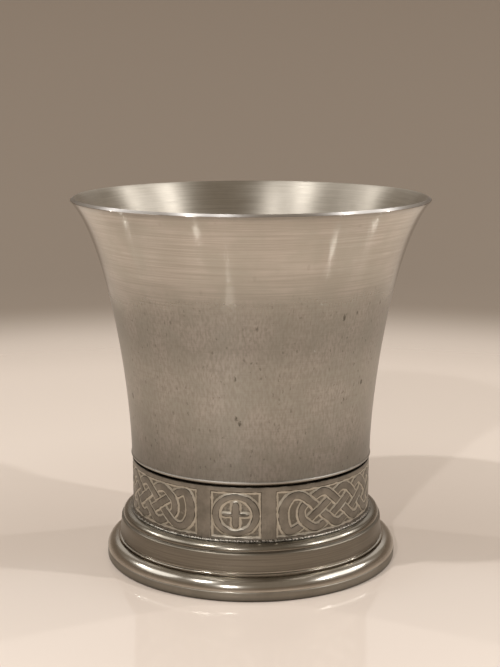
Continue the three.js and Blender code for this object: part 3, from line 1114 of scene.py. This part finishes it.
def inside_pewter():
    """Inside of the bowl: bright, with fine level lines that draw each light out into an upright streak."""
    material, tree, shader = metal("inside_pewter", inside_anisotropy)
    lines = effect(tree, turning_lines, Fineness=3500.0, Breaks=70.0)
    cloud = effect(tree, tarnish, Scale=40.0)
    worn = blend(tree, inside_line_share, cloud, ramp(tree, lines, *noise_core))
    colour = blend_colours(tree, worn, *inside_colours)
    finish(tree, shader, colour, ramp(tree, lines, *noise_range, *inside_roughness), lines, inside_marks)
    return material


SATIN, BURNISHED, INSIDE = range(3)
bowl = turned("spun_bowl", bowl_outline(), bowl_edge)
bowl.data.materials.append(spun_pewter("satin_outside", satin_anisotropy))
bowl.data.materials.append(spun_pewter("burnished_outside", burnished_anisotropy))
bowl.data.materials.append(inside_pewter())
for face in bowl.data.polygons:
    centre = face.center
    faces_axis = face.normal.x * centre.x + face.normal.y * centre.y < 0
    is_floor = face.normal.z > MOSTLY and centre.z < (bowl_bottom + 2 * bowl_floor) * MM
    outside = BURNISHED if centre.z > (burnish_high + burnish_wave) * MM else SATIN
    face.material_index = INSIDE if faces_axis or is_floor else outside
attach(bowl, "root")
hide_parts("bowl")
solder_seam("bowl_seam", "bowl_solder", outwards=False)

# Studio: a pale, slightly glossy table that sweeps up into a grey wall all round, round lamps overhead,
# soft panels beside and behind, and a camera a little above the lip and turned a few degrees from a cross.
table_flat = 450.0
wall_radius = 800.0
wall_foot = 250.0
wall_top = 300.0
COVE_STEPS = 24
# The table is painted darker close round the beaker, a painted shade that fades out by 130 mm.
near_shade_reach = (50.0, 130.0)
near_shade_colour = (0.795, 0.69, 0.605, 1)
pale_reach = (210.0, 380.0)
pale_colour = (0.88, 0.775, 0.685, 1)
wall_colour = (0.295, 0.242, 0.194, 1)
ceiling_colour = (0.30, 0.255, 0.205, 1)
table_gloss = 0.22
table_roughness = 0.08
wall_roughness = 1.0
lamp_distance = 1300.0
lamp_size = 40.0
lamps = (
    (111.0, 38.0, 1.8), (71.0, 42.0, 3.6), (-17.5, 32.0, 3.4), (-54.0, 57.0, 4.2), (-112.5, 38.0, 1.6),
)
panel_size = 700.0
panels = ((95.0, 42.0, 2.4), (-95.0, 42.0, 2.0), (164.0, 35.0, 0.6), (-164.0, 35.0, 0.6))
image_width = 500
image_height = 667
sensor = 36.0
focal_pixels = 1378.3
camera_turn = math.radians(6.85)
camera_distance = 337.2
camera_height = 122.63
camera_tilt = math.radians(11.13)
axis_pixel = 250.8

cove = turned("table_top", [
    (0, 0),
    *arc(table_flat, wall_foot, wall_radius - table_flat, wall_foot, -90, 0, COVE_STEPS),
    (wall_radius, wall_top),
], edge=0)
bpy.ops.object.mode_set(mode="EDIT")
bpy.ops.mesh.select_all(action="SELECT")
bpy.ops.mesh.flip_normals()
bpy.ops.object.mode_set(mode="OBJECT")


def table_paint():
    """Pale and slightly glossy in the middle with painted shade close round the beaker, fading to a matt
    wall.
    """
    material = bpy.data.materials.new("table_paint")
    material.use_nodes = True
    tree = material.node_tree
    shader = tree.nodes["Principled BSDF"]
    shader.inputs["Specular IOR Level"].default_value = table_gloss
    _, _, radius, _ = place_on_surface(tree)
    outside = ramp(tree, radius, *[reach * MM for reach in pale_reach])
    # Painted shade near the beaker, fading out to the pale table.
    out_of_near_shade = ramp(tree, radius, *[reach * MM for reach in near_shade_reach])
    pale = blend_colours(tree, out_of_near_shade, near_shade_colour, pale_colour)
    tree.links.new(blend_colours(tree, outside, pale, wall_colour), shader.inputs["Base Color"])
    roughness = blend(tree, outside, table_roughness, wall_roughness)
    tree.links.new(roughness, shader.inputs["Roughness"])
    return material


cove.data.materials.append(table_paint())
world = bpy.data.worlds.new("surround")
world.use_nodes = True
world.node_tree.nodes["Background"].inputs["Color"].default_value = ceiling_colour
bpy.context.scene.world = world


def hung_lamp(name, turn, rise, size, power):
    """A round lamp aimed at the beaker, its turn from the camera and its rise in degrees."""
    angle = camera_turn + math.radians(turn)
    lift = math.radians(rise)
    out = lamp_distance * MM * math.cos(lift)
    up = lamp_distance * MM * math.sin(lift)
    bpy.ops.object.light_add(type="AREA")
    lamp = bpy.context.object
    lamp.name = name
    lamp.data.shape = "DISK"
    lamp.data.size = size * MM
    lamp.data.energy = power
    lamp.location = (out * math.sin(angle), -out * math.cos(angle), up)
    lamp.rotation_euler = (math.pi / 2 - lift, 0, angle)


for turn, rise, power in lamps:
    hung_lamp("lamp", turn, rise, lamp_size, power)
for turn, rise, power in panels:
    hung_lamp("soft_panel", turn, rise, panel_size, power)

bpy.ops.object.camera_add()
camera = bpy.context.object
camera.name = "camera"
camera.data.sensor_width = sensor
camera.data.lens = focal_pixels * sensor / image_height
camera.data.shift_x = (image_width / 2 - axis_pixel) / image_height
aside = camera_distance * math.sin(camera_turn)
ahead = -camera_distance * math.cos(camera_turn)
camera.location = (aside * MM, ahead * MM, camera_height * MM)
camera.rotation_euler = (math.pi / 2 - camera_tilt, 0, camera_turn)
bpy.context.scene.camera = camera
bpy.context.scene.view_settings.view_transform = "Standard"
